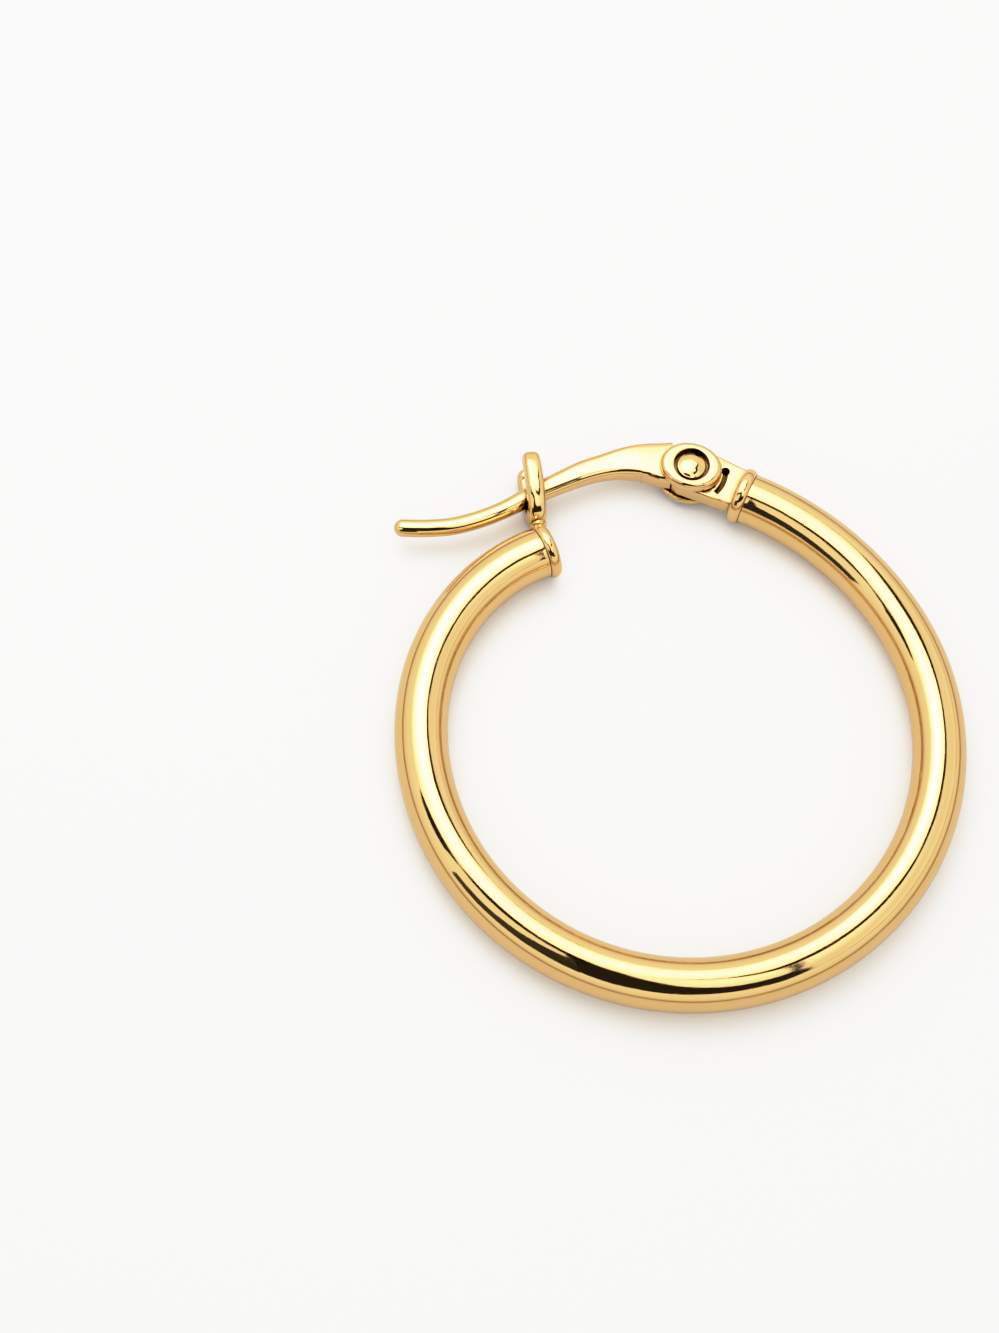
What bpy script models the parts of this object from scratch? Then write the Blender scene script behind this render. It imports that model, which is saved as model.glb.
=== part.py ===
# A polished gold hoop earring with a hinged lever, lying on its side on z = 0.
# The hoop lies in the XY plane, open towards +Y. The lever closes the opening: it turns about the pin at
# the right end and snaps through the catch loop at the left end.
import math

import bmesh
import bpy
from mathutils import Matrix, Vector

MM = 0.001

# Hoop: a tube bent round, whose ends leave the round a little
HOOP_RADIUS = 13.6 * MM            # to the middle of the tube
TUBE_RADIUS = 1.4 * MM
TUBE_WALL = 0.3 * MM
OPENING_ANGLE = 52.0               # degrees of the round left open between the tube's ends
HINGE_END_RISE = 0.72 * MM         # how far the hinge end stands outside the round
HINGE_END_SWEEP = 47.0             # degrees over which it rises
CATCH_END_DIP = 1.02 * MM          # how far the catch end dips inside the round
CATCH_END_SWEEP = 52.0             # degrees over which it dips
CATCH_END_CURVE = 2.5              # power with which the dip grows towards the end
TUBE_SEGMENTS = 76
TUBE_ROUNDING = 6                  # curve steps in a quarter of the tube's section

# Beads that close the tube's two ends
BEAD_RADIUS = 1.57 * MM
COLLAR_LENGTH = 0.67 * MM
CAP_LENGTH = 0.75 * MM
CAP_DOME = 0.14 * MM
NECK_DEPTH = 0.07 * MM             # groove between bead and tube, below the tube's surface
SPIGOT_LENGTH = 0.8 * MM
SPIGOT_CLEARANCE = 0.06 * MM       # between spigot and bore
SEAM_GAP = 0.03 * MM               # between bead and tube end
BEAD_STEPS = 8                     # facets across a bead's rim

# Hinge: a flat tongue on the collar, between the lever's two ears
PIN_REACH = 3.46 * MM              # from the tube's end to the pin
TONGUE_THICKNESS = 1.06 * MM
TONGUE_OUTER_EDGE = 1.36 * MM      # from the tube's axis, at the collar
TONGUE_SHOULDER = 1.48 * MM        # from the tube's axis, beside the ears
SHOULDER_REACH = 1.05 * MM         # from the pin towards the collar
TONGUE_INNER_EDGE = 1.06 * MM
KNUCKLE_RADIUS = 1.27 * MM
KNUCKLE_START = 72.0               # degrees round the pin from the collar's side, outer edge
KNUCKLE_END = 262.0                # the same, inner edge
KNUCKLE_STEPS = 22
SLIT_RADIUS = 1.93 * MM            # spring slit round the ears, from the pin
SLIT_WIDTH = 0.34 * MM
SLIT_HALF_ANGLE = 22.0
SLIT_HOLE_RADIUS = 0.25 * MM
SLIT_STEPS = 6
EAR_LENGTH = 3.4 * MM
EAR_WIDTH = 2.82 * MM
EAR_THICKNESS = 0.57 * MM
EAR_TURN = -25.0                   # degrees from the lever's chord to the ears' long side
EAR_EDGE = 0.09 * MM
EAR_SIDES = 48
RUNNING_GAP = 0.05 * MM            # between the lever and what it turns on
PIN_RADIUS = 0.4 * MM
HEAD_RADIUS = 0.76 * MM
HEAD_EDGE_RISE = 0.17 * MM         # straight side of the head, above its seat
HEAD_DOME_RISE = 0.16 * MM         # dome above the straight side
HEAD_GAP = 0.03 * MM               # under the head
SEAT_RADIUS = 0.94 * MM
SEAT_DEPTH = 0.24 * MM
OPEN_ANGLE = 80.0                  # degrees the lever opens

# Catch: a loop of wire bent to a narrow U, its mouth outward
LOOP_WIRE_RADIUS = 0.47 * MM
LOOP_HALF_WIDTH = 1.1 * MM         # middle plane to the middle of a limb
LOOP_ARC_HEIGHT = 2.95 * MM        # bead's crown to where the limbs start to curve in
LOOP_SINK = 0.12 * MM              # solder depth of the wire in the bead
LOOP_SEAT = 0.45 * MM              # along the tube's axis, from the tube's end
LOOP_LEAN = -17.4                  # degrees from square to the tube, towards the opening
LOOP_TIP_ANGLE = 25.0              # degrees of arc by which each tip turns in
LOOP_TIP_STEPS = 3
LOOP_BEND_STEPS = 14
LOOP_ROUNDING = 3                  # curve steps in a quarter of the wire's section
LOOP_PASS_HEIGHT = 1.81 * MM       # bead's crown to the middle of the lever

# Lever: a round post that widens to a flat arm
POST_WIDTH = 0.98 * MM
POST_THICKNESS = 0.92 * MM
ARM_WIDTH = 2.44 * MM
ARM_THICKNESS = 1.3 * MM
ARCH_RISE = 1.155 * MM             # chord from pin to catch, to the middle of the arm
POST_DIP = 1.2 * MM                # the same, to the lowest part of the post
POST_OVERHANG = 7.79 * MM          # past the catch, along the chord
THICKENING = 1.6                   # how much sooner than its width the arm's thickness grows
LEVER_SECTIONS = 30
SECTION_POINTS = 20
ROUND_SQUARENESS = 2.0             # exponent of the post's section, an ellipse
FLAT_SQUARENESS = 6.0              # exponent of the arm's section, nearly a rectangle

# Rows run from the arm's end beside the pin to the catch: share of the chord, share of ARCH_RISE,
# and how far the section has gone from the post's (0) to the arm's (1)
ARM_ROWS = (
    # along, rise, swell
    (0.05, 0.54, 1.00),
    (0.13, 0.60, 1.00),
    (0.23, 0.83, 0.77),
    (0.40, 0.99, 0.49),
    (0.52, 0.94, 0.32),
    (0.66, 0.78, 0.19),
    (0.80, 0.48, 0.09),
    (1.00, 0.00, 0.00),
)
# Rows run from the catch to the post's tip: share of POST_OVERHANG, and share of POST_DIP
POST_ROWS = (
    # along, dip
    (0.24, 0.58),
    (0.45, 0.90),
    (0.58, 1.00),
    (0.76, 0.94),
    (1.00, 0.68),
)

WELD = 0.0001 * MM
ROUND_STEPS = 40                   # sides of the round pieces
SHARP_ANGLE = 35.0                 # degrees between faces, above which an edge is shaded sharp
TIP_ANGLES = (30.0, 60.0, 80.0)    # degrees round a rounded tip at which it has a section

GOLD = (0.93, 0.66, 0.27, 1.0)
GOLD_SHADE = (0.86, 0.58, 0.22, 1.0)


def empty_file():
    for old in list(bpy.data.objects):
        bpy.data.objects.remove(old, do_unlink=True)


def new_collection(name):
    collection = bpy.data.collections.new(name)
    bpy.context.scene.collection.children.link(collection)
    return collection


def gold(name, colour, roughness):
    material = bpy.data.materials.new(name)
    material.use_nodes = True
    shader = material.node_tree.nodes["Principled BSDF"]
    shader.inputs["Base Color"].default_value = colour
    shader.inputs["Metallic"].default_value = 1.0
    shader.inputs["Roughness"].default_value = roughness
    return material


def new_object(name, mesh, collection, matrix):
    item = bpy.data.objects.new(name, mesh)
    collection.objects.link(item)
    item.parent = FRAME
    item.matrix_basis = matrix
    return item


def helper(item):
    item.hide_render = True
    item.display_type = "WIRE"
    return item


def shade(item, material):
    item.data.materials.append(material)
    item.data.shade_smooth()
    item.data.set_sharp_from_angle(angle=math.radians(SHARP_ANGLE))


def add_boolean(item, other, operation):
    modifier = item.modifiers.new(other.name, "BOOLEAN")
    modifier.operation = operation
    modifier.solver = "EXACT"
    modifier.object = other


def mesh_from_faces(name, points, faces):
    mesh = bpy.data.meshes.new(name)
    mesh.from_pydata([tuple(point) for point in points], [], faces)
    mesh.update()
    return mesh


def mesh_from_curve(name, splines, bevel=0.0, rounding=0, half_thickness=0.0, caps=True):
    """Splines are (points, radii or None, closed). A flat outline has a half thickness, a wire a bevel."""
    curve = bpy.data.curves.new(name, "CURVE")
    curve.dimensions = "2D" if half_thickness else "3D"
    for points, radii, closed in splines:
        spline = curve.splines.new("POLY")
        spline.points.add(len(points) - 1)
        spline.use_cyclic_u = closed
        for index, point in enumerate(points):
            spline.points[index].co = (*point, 1.0)
            spline.points[index].radius = radii[index] if radii else 1.0
    if half_thickness:
        curve.fill_mode = "BOTH"
        curve.extrude = half_thickness
    else:
        curve.bevel_depth = bevel
        curve.bevel_resolution = rounding
        curve.use_fill_caps = caps
    item = bpy.data.objects.new(name, curve)
    bpy.context.scene.collection.objects.link(item)
    graph = bpy.context.evaluated_depsgraph_get()
    mesh = bpy.data.meshes.new_from_object(item.evaluated_get(graph))
    bpy.data.objects.remove(item, do_unlink=True)
    bpy.data.curves.remove(curve)
    shape = bmesh.new()
    shape.from_mesh(mesh)
    bmesh.ops.remove_doubles(shape, verts=shape.verts, dist=WELD)
    bmesh.ops.recalc_face_normals(shape, faces=shape.faces)
    shape.to_mesh(mesh)
    shape.free()
    mesh.name = name
    return mesh


def turned(name, profile, collection, matrix):
    """A profile of (radius, height) from the top of the shape to its bottom, turned about local Z."""
    points = [Vector((radius, 0.0, height)) for radius, height in profile]
    edges = [(index, index + 1) for index in range(len(points) - 1)]
    mesh = bpy.data.meshes.new(name)
    mesh.from_pydata([tuple(point) for point in points], edges, [])
    item = new_object(name, mesh, collection, matrix)
    screw = item.modifiers.new("turn", "SCREW")
    screw.steps = ROUND_STEPS
    screw.render_steps = ROUND_STEPS
    screw.use_merge_vertices = True
    screw.merge_threshold = WELD
    return item


def arc(centre, radius, start, end, count):
    """Points in a plane round a centre, from one angle in degrees to another."""
    points = []
    for index in range(count + 1):
        angle = math.radians(start + (end - start) * index / count)
        points.append((centre[0] + radius * math.cos(angle), centre[1] + radius * math.sin(angle)))
    return points


def smooth_rows(rows, position):
    """The other columns of a table at a value of its first, along a smooth curve through the rows."""
    places = [row[0] for row in rows]
    index = max(0, min(len(rows) - 2, sum(place <= position for place in places) - 1))
    before = rows[max(index - 1, 0)]
    low, high = rows[index], rows[index + 1]
    after = rows[min(index + 2, len(rows) - 1)]
    span = high[0] - low[0]
    share = (position - low[0]) / span
    result = []
    for column in range(1, len(low)):
        slope_low = (high[column] - before[column]) / (high[0] - before[0]) * span
        slope_high = (after[column] - low[column]) / (after[0] - low[0]) * span
        value = (
            (2 * share**3 - 3 * share**2 + 1) * low[column]
            + (share**3 - 2 * share**2 + share) * slope_low
            + (3 * share**2 - 2 * share**3) * high[column]
            + (share**3 - share**2) * slope_high
        )
        result.append(value)
    return result


# The hoop's middle line
TUBE_TURN = 360.0 - OPENING_ANGLE


def hoop_point(turn):
    """A point on the tube's middle line; turn is in degrees clockwise from the hinge end."""
    radius = HOOP_RADIUS
    if turn < HINGE_END_SWEEP:
        radius += HINGE_END_RISE * (1.0 - turn / HINGE_END_SWEEP) ** 2
    left = TUBE_TURN - turn
    if left < CATCH_END_SWEEP:
        radius -= CATCH_END_DIP * (1.0 - left / CATCH_END_SWEEP) ** CATCH_END_CURVE
    angle = math.radians(90.0 - OPENING_ANGLE / 2.0 - turn)
    return Vector((radius * math.cos(angle), radius * math.sin(angle), 0.0))


TUBE_LINE = [hoop_point(TUBE_TURN * index / TUBE_SEGMENTS) for index in range(TUBE_SEGMENTS + 1)]


def end_frame(end, inside):
    """Axes at a tube end: local Z leaves the tube, local X points away from the hoop's middle."""
    axis = (end - inside).normalized()
    out = Vector((-axis.y, axis.x, 0.0))
    if out.dot(end) < 0.0:
        out = -out
    side = axis.cross(out)
    matrix = Matrix((out, side, axis)).transposed().to_4x4()
    matrix.translation = end
    return matrix


HINGE_END = end_frame(TUBE_LINE[0], TUBE_LINE[1])
CATCH_END = end_frame(TUBE_LINE[-1], TUBE_LINE[-2])


def on_end(end, along, out):
    """A place in the hoop's plane, from a tube end: along its axis, and away from the hoop's middle."""
    return end @ Vector((out, 0.0, along))


PIN_PLACE = on_end(HINGE_END, PIN_REACH, 0.0)
LOOP_BASE = on_end(CATCH_END, LOOP_SEAT, BEAD_RADIUS)
LOOP_UP = (Matrix.Rotation(math.radians(LOOP_LEAN), 3, "Z") @ CATCH_END.col[0].to_3d()).normalized()
CATCH_PLACE = LOOP_BASE + LOOP_UP * LOOP_PASS_HEIGHT
CHORD = CATCH_PLACE - PIN_PLACE
CHORD_LENGTH = CHORD.length
# Lever's own axes: local -X runs along the chord from the pin to the catch
LEVER_TURN = Matrix.Rotation(math.atan2(-CHORD.y, -CHORD.x), 4, "Z")
LEVER_FRAME = Matrix.Translation(PIN_PLACE) @ LEVER_TURN
# Tongue's own axes: local X runs from the pin to the collar
TO_COLLAR = -HINGE_END.col[2].to_3d()
TONGUE_TURN = Matrix.Rotation(math.atan2(TO_COLLAR.y, TO_COLLAR.x), 4, "Z")
TONGUE_FRAME = Matrix.Translation(PIN_PLACE) @ TONGUE_TURN
EAR_INNER = TONGUE_THICKNESS / 2.0 + RUNNING_GAP
EAR_OUTER = EAR_INNER + EAR_THICKNESS
SEAT_FLOOR = EAR_OUTER - SEAT_DEPTH


def build_tube(parts):
    mesh = mesh_from_curve("hoop_tube", [(TUBE_LINE, None, False)], TUBE_RADIUS, TUBE_ROUNDING, caps=False)
    item = new_object("hoop_tube", mesh, parts, Matrix.Identity(4))
    wall = item.modifiers.new("wall", "SOLIDIFY")
    wall.thickness = TUBE_WALL
    wall.offset = -1.0
    wall.use_even_offset = True
    wall.use_rim = True
    shade(item, gold("polished_gold_tube", GOLD, 0.08))
    return item


def bead_profile(length, dome):
    """Half section of a bead: its domed or flat end, round rim and neck, and the spigot in the bore."""
    neck = TUBE_RADIUS - NECK_DEPTH
    spigot = TUBE_RADIUS - TUBE_WALL - SPIGOT_CLEARANCE
    profile = [(0.0, length)]
    if dome:
        for angle in (math.radians(30.0), math.radians(60.0)):
            profile.append((neck * math.sin(angle), length - dome * (1.0 - math.cos(angle))))
    rim_middle = (length - dome + SEAM_GAP) / 2.0
    rim_half = (length - dome - SEAM_GAP) / 2.0
    for angle in (math.radians(90.0 - 180.0 * step / BEAD_STEPS) for step in range(BEAD_STEPS + 1)):
        reach = neck + (BEAD_RADIUS - neck) * math.cos(angle)
        profile.append((reach, rim_middle + rim_half * math.sin(angle)))
    profile += [(spigot, SEAM_GAP), (spigot, -SPIGOT_LENGTH), (0.0, -SPIGOT_LENGTH)]
    return profile


def tongue_outline(grow):
    """Outline of the tongue, from the pin: (towards the collar, away from the hoop's middle)."""
    collar = PIN_REACH - COLLAR_LENGTH / 2.0
    points = [(collar, TONGUE_OUTER_EDGE + grow), (SHOULDER_REACH, TONGUE_SHOULDER + grow)]
    points += arc((0.0, 0.0), KNUCKLE_RADIUS + grow, KNUCKLE_START, KNUCKLE_END, KNUCKLE_STEPS)
    points.append((collar, -TONGUE_INNER_EDGE - grow))
    return points


def slit_outline():
    """The spring slit: an arc round the pin with a round relief hole at its outer end."""
    half = SLIT_WIDTH / 2.0
    side = math.asin(half / SLIT_HOLE_RADIUS)
    meet = SLIT_HALF_ANGLE - math.degrees(SLIT_HOLE_RADIUS * math.cos(side) / SLIT_RADIUS)
    end = math.radians(SLIT_HALF_ANGLE)
    centre = (SLIT_RADIUS * math.cos(end), SLIT_RADIUS * math.sin(end))
    hole_start = SLIT_HALF_ANGLE + 270.0 - math.degrees(side)
    hole_end = SLIT_HALF_ANGLE - 90.0 + math.degrees(side)
    points = arc((0.0, 0.0), SLIT_RADIUS - half, -SLIT_HALF_ANGLE, meet, SLIT_STEPS)
    points += arc(centre, SLIT_HOLE_RADIUS, hole_start, hole_end, 2 * SLIT_STEPS)[1:-1]
    points += arc((0.0, 0.0), SLIT_RADIUS + half, meet, -SLIT_HALF_ANGLE, SLIT_STEPS)
    return points


def flat(points):
    return [(x, y, 0.0) for x, y in points]


def build_hinge_fitting(parts, cutters):
    """The collar bead, with the tongue soldered to its flat end."""
    item = turned("hinge_fitting", bead_profile(COLLAR_LENGTH, 0.0), parts, HINGE_END)
    hole = arc((0.0, 0.0), PIN_RADIUS + RUNNING_GAP, 0.0, 360.0, ROUND_STEPS)[1:]
    splines = [(flat(points), None, True) for points in (tongue_outline(0.0), slit_outline(), hole)]
    mesh = mesh_from_curve("tongue", splines, half_thickness=TONGUE_THICKNESS / 2.0)
    tongue = helper(new_object("tongue", mesh, cutters, TONGUE_FRAME))
    add_boolean(item, tongue, "UNION")
    shade(item, gold("polished_gold_hinge", GOLD, 0.1))
    return item


def loop_line():
    """Middle line of the catch wire in (across, up) from its seat, with radii that round the tips."""
    low = (0.0, LOOP_WIRE_RADIUS - LOOP_SINK + LOOP_HALF_WIDTH)
    high = (0.0, LOOP_ARC_HEIGHT)
    right = arc(high, LOOP_HALF_WIDTH, LOOP_TIP_ANGLE, 0.0, LOOP_TIP_STEPS)
    points = right + arc(low, LOOP_HALF_WIDTH, 0.0, -180.0, LOOP_BEND_STEPS)
    points += [(-across, up) for across, up in reversed(right)]
    radii = [1.0] * len(points)
    along = math.radians(LOOP_TIP_ANGLE + 90.0)
    for angle in (math.radians(degrees) for degrees in TIP_ANGLES):
        reach = LOOP_WIRE_RADIUS * math.sin(angle)
        tip = right[0]
        across = tip[0] + reach * math.cos(along)
        up = tip[1] + reach * math.sin(along)
        points = [(across, up)] + points + [(-across, up)]
        radii = [math.cos(angle)] + radii + [math.cos(angle)]
    return points, radii


def build_catch_fitting(parts, cutters):
    """The end cap, with the catch loop soldered upright on its crown."""
    item = turned("catch_fitting", bead_profile(CAP_LENGTH, CAP_DOME), parts, CATCH_END)
    points, radii = loop_line()
    line = [LOOP_BASE + LOOP_UP * up + Vector((0.0, 0.0, across)) for across, up in points]
    mesh = mesh_from_curve("catch_loop", [(line, radii, False)], LOOP_WIRE_RADIUS, LOOP_ROUNDING)
    loop = helper(new_object("catch_loop", mesh, cutters, Matrix.Identity(4)))
    add_boolean(item, loop, "UNION")
    shade(item, gold("polished_gold_catch", GOLD, 0.1))
    return item


def lever_sections():
    """Sections from the arm's end to the post's tip: middle, half width, half thickness, flatness."""
    sections = []
    overhang = POST_OVERHANG / CHORD_LENGTH
    post_rows = [(1.0, 0.0)] + [(1.0 + along * overhang, dip) for along, dip in POST_ROWS]
    start = ARM_ROWS[0][0]
    path_rows = [(along, rise * ARCH_RISE) for along, rise, _ in ARM_ROWS[:-1]]
    path_rows += [(along, -dip * POST_DIP) for along, dip in post_rows]
    swell_rows = [(along, swell) for along, _, swell in ARM_ROWS] + [(2.0 + overhang, 0.0)]
    end = 1.0 + overhang - POST_WIDTH / 2.0 / CHORD_LENGTH
    for index in range(LEVER_SECTIONS + 1):
        along = start + (end - start) * index / LEVER_SECTIONS
        swell = max(0.0, smooth_rows(swell_rows, along)[0])
        middle = Vector((-along * CHORD_LENGTH, smooth_rows(path_rows, along)[0], 0.0))
        width = POST_WIDTH + (ARM_WIDTH - POST_WIDTH) * swell
        flatness = min(1.0, THICKENING * swell)
        thickness = POST_THICKNESS + (ARM_THICKNESS - POST_THICKNESS) * flatness
        sections.append((middle, width / 2.0, thickness / 2.0, flatness))
    last, width, thickness, flatness = sections[-1]
    heading = (last - sections[-2][0]).normalized()
    for angle in (math.radians(degrees) for degrees in TIP_ANGLES):
        shrink = math.cos(angle)
        middle = last + heading * width * math.sin(angle)
        sections.append((middle, width * shrink, thickness * shrink, flatness))
    return sections


def build_arm_mesh():
    """The arm and post, lofted from a rounded bar to a round post."""
    sections = lever_sections()
    points = []
    for index, (middle, width, thickness, flatness) in enumerate(sections):
        before = sections[max(index - 1, 0)][0]
        after = sections[min(index + 1, len(sections) - 1)][0]
        heading = (after - before).normalized()
        side = Vector((heading.y, -heading.x, 0.0))
        power = 2.0 / (ROUND_SQUARENESS + (FLAT_SQUARENESS - ROUND_SQUARENESS) * flatness)
        for corner in range(SECTION_POINTS):
            angle = 2.0 * math.pi * (corner + 0.5) / SECTION_POINTS
            across = math.copysign(abs(math.cos(angle)) ** power, math.cos(angle))
            up = math.copysign(abs(math.sin(angle)) ** power, math.sin(angle))
            points.append(middle + side * width * across + Vector((0.0, 0.0, thickness * up)))
    faces = [tuple(range(SECTION_POINTS))[::-1]]
    for index in range(len(sections) - 1):
        base = index * SECTION_POINTS
        for corner in range(SECTION_POINTS):
            following = (corner + 1) % SECTION_POINTS
            faces.append((base + corner, base + following,
                          base + SECTION_POINTS + following, base + SECTION_POINTS + corner))
    last = (len(sections) - 1) * SECTION_POINTS
    faces.append(tuple(range(last, last + SECTION_POINTS)))
    mesh = mesh_from_faces("lever", points, faces)
    shape = bmesh.new()
    shape.from_mesh(mesh)
    bmesh.ops.recalc_face_normals(shape, faces=shape.faces)
    shape.to_mesh(mesh)
    shape.free()
    return mesh


def build_ear(name, side, cutters):
    """An oval disc beside the tongue, with rounded edges."""
    shape = bmesh.new()
    bmesh.ops.create_cone(
        shape, cap_ends=True, segments=EAR_SIDES, radius1=1.0, radius2=1.0, depth=EAR_THICKNESS
    )
    bmesh.ops.scale(shape, verts=shape.verts, vec=(EAR_LENGTH / 2.0, EAR_WIDTH / 2.0, 1.0))
    mesh = bpy.data.meshes.new(name)
    shape.to_mesh(mesh)
    shape.free()
    height = side * (EAR_INNER + EAR_THICKNESS / 2.0)
    turn = Matrix.Rotation(math.radians(EAR_TURN), 4, "Z")
    place = LEVER_FRAME @ Matrix.Translation((0.0, 0.0, height)) @ turn
    ear = helper(new_object(name, mesh, cutters, place))
    edge = ear.modifiers.new("edge", "BEVEL")
    edge.width = EAR_EDGE
    edge.segments = 2
    edge.limit_method = "ANGLE"
    return ear


def build_lever(parts, cutters):
    """The arm, cut back from the tongue's whole swing, with an ear soldered to each face."""
    item = new_object("lever", build_arm_mesh(), parts, LEVER_FRAME)
    outline = [(flat(tongue_outline(RUNNING_GAP)), None, True)]
    mesh = mesh_from_curve("tongue_swing", outline, half_thickness=ARM_THICKNESS)
    opened = Matrix.Rotation(math.radians(OPEN_ANGLE), 4, "Z")
    swing_frame = Matrix.Translation(PIN_PLACE) @ opened @ TONGUE_TURN
    swing = helper(new_object("tongue_swing", mesh, cutters, swing_frame))
    add_boolean(item, swing, "DIFFERENCE")
    for name, side in (("near_ear", 1.0), ("far_ear", -1.0)):
        add_boolean(item, build_ear(name, side, cutters), "UNION")
    top = EAR_OUTER + SEAT_DEPTH
    hole = PIN_RADIUS + RUNNING_GAP
    profile = [(0.0, top), (SEAT_RADIUS, top), (SEAT_RADIUS, SEAT_FLOOR), (hole, SEAT_FLOOR)]
    profile += [(radius, -height) for radius, height in reversed(profile)]
    seats = helper(turned("pin_seats", profile, cutters, LEVER_FRAME))
    add_boolean(item, seats, "DIFFERENCE")
    shade(item, gold("polished_gold_lever", GOLD, 0.1))
    return item


def build_pin(parts):
    """A rivet: a shaft through ears and tongue, with a domed head in each seat."""
    base = SEAT_FLOOR + HEAD_GAP
    edge = base + HEAD_EDGE_RISE
    profile = []
    for angle in (math.radians(degrees) for degrees in (0.0, 30.0, 60.0, 90.0)):
        profile.append((HEAD_RADIUS * math.sin(angle), edge + HEAD_DOME_RISE * math.cos(angle)))
    profile += [(HEAD_RADIUS, base), (PIN_RADIUS, base)]
    profile += [(radius, -height) for radius, height in reversed(profile)]
    item = turned("hinge_pin", profile, parts, Matrix.Translation(PIN_PLACE))
    shade(item, gold("polished_gold_pin", GOLD_SHADE, 0.12))
    return item


def stand_on_origin(parts):
    """Moves the whole earring so that it lies on z = 0, with the middle of its box over the origin."""
    bpy.context.view_layer.update()
    graph = bpy.context.evaluated_depsgraph_get()
    corners = []
    for item in [part for part in parts.objects if part.type == "MESH"]:
        final = item.evaluated_get(graph)
        corners += [final.matrix_world @ vertex.co for vertex in final.data.vertices]
    low = Vector([min(corner[axis] for corner in corners) for axis in range(3)])
    high = Vector([max(corner[axis] for corner in corners) for axis in range(3)])
    FRAME.location = (-(low.x + high.x) / 2.0, -(low.y + high.y) / 2.0, -low.z)
    bpy.context.view_layer.update()


empty_file()
PARTS = new_collection("hoop_earring")
CUTTERS = new_collection("cutters")
FRAME = bpy.data.objects.new("earring_frame", None)
PARTS.objects.link(FRAME)
build_tube(PARTS)
build_hinge_fitting(PARTS, CUTTERS)
build_catch_fitting(PARTS, CUTTERS)
build_lever(PARTS, CUTTERS)
build_pin(PARTS)
stand_on_origin(PARTS)
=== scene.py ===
# One polished gold hoop earring lying on its side on a pale studio floor, its lever closed through the
# catch loop, seen at the photograph's angle. Lengths are in millimetres until a mesh is made.
import math

import bmesh
import bpy
import numpy as np
from mathutils import Matrix, Vector


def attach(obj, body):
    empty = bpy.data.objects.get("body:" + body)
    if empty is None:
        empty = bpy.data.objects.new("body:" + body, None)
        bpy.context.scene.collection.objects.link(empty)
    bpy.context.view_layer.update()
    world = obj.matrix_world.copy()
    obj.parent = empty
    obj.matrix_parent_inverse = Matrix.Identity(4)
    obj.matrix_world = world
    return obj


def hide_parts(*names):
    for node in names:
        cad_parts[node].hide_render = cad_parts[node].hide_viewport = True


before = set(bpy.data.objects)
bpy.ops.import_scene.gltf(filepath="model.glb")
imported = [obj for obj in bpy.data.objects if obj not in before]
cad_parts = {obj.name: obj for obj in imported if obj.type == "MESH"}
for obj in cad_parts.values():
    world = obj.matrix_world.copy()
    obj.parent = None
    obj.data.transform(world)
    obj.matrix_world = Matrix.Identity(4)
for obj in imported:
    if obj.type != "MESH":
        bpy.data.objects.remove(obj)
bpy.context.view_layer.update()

# HOOP TUBE
# A thin tube of yellow gold bent round and polished to a mirror along its length. It is not quite a
# circle: the hinge end stands a little outside the round and the catch end dips a little inside it.
HOOP_CENTRE = np.array([0.0, -0.912, 1.57])
HOOP_RADIUS = 13.6
TUBE_RADIUS = 1.4
WALL = 0.3
OPENING = 52.0
TUBE_TURN = 360.0 - OPENING
HINGE_RISE, HINGE_SWEEP = 0.72, 47.0
CATCH_DIP, CATCH_SWEEP = 1.02, 52.0
UP = np.array([0.0, 0.0, 1.0])
# edges that turn by more degrees than this stay crisp
CRISP_ANGLE = 50.0


def unit(vector):
    return vector / np.linalg.norm(vector)


def hoop_point(turn):
    """A point of the tube's middle line, turned clockwise from the hinge end by degrees."""
    radius = HOOP_RADIUS
    if turn < HINGE_SWEEP:
        radius += HINGE_RISE * (1.0 - turn / HINGE_SWEEP) ** 2
    left = TUBE_TURN - turn
    if left < CATCH_SWEEP:
        radius -= CATCH_DIP * (1.0 - left / CATCH_SWEEP) ** 2.5
    angle = math.radians(90.0 - OPENING / 2.0 - turn)
    return HOOP_CENTRE + radius * np.array([math.cos(angle), math.sin(angle), 0.0])


def sweep(path, radii, normal, sides, squareness=2.0):
    """Rings of points round a flat path; normal is square to the path's plane.

    A squareness of 2 makes round rings, and a larger one flattens their four sides.
    """
    path = np.asarray(path)
    ahead = np.gradient(path, axis=0)
    angles = 2.0 * math.pi * np.arange(sides) / sides
    across, upright = np.cos(angles), np.sin(angles)
    reach = (np.abs(across)**squareness + np.abs(upright)**squareness)**(-1.0 / squareness)
    rings = []
    for place, heading, radius in zip(path, ahead, radii):
        out = np.cross(unit(heading), normal)
        ring = np.outer(reach * across, out) + np.outer(reach * upright, normal)
        rings.append(place + radius * ring)
    return rings


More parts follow.
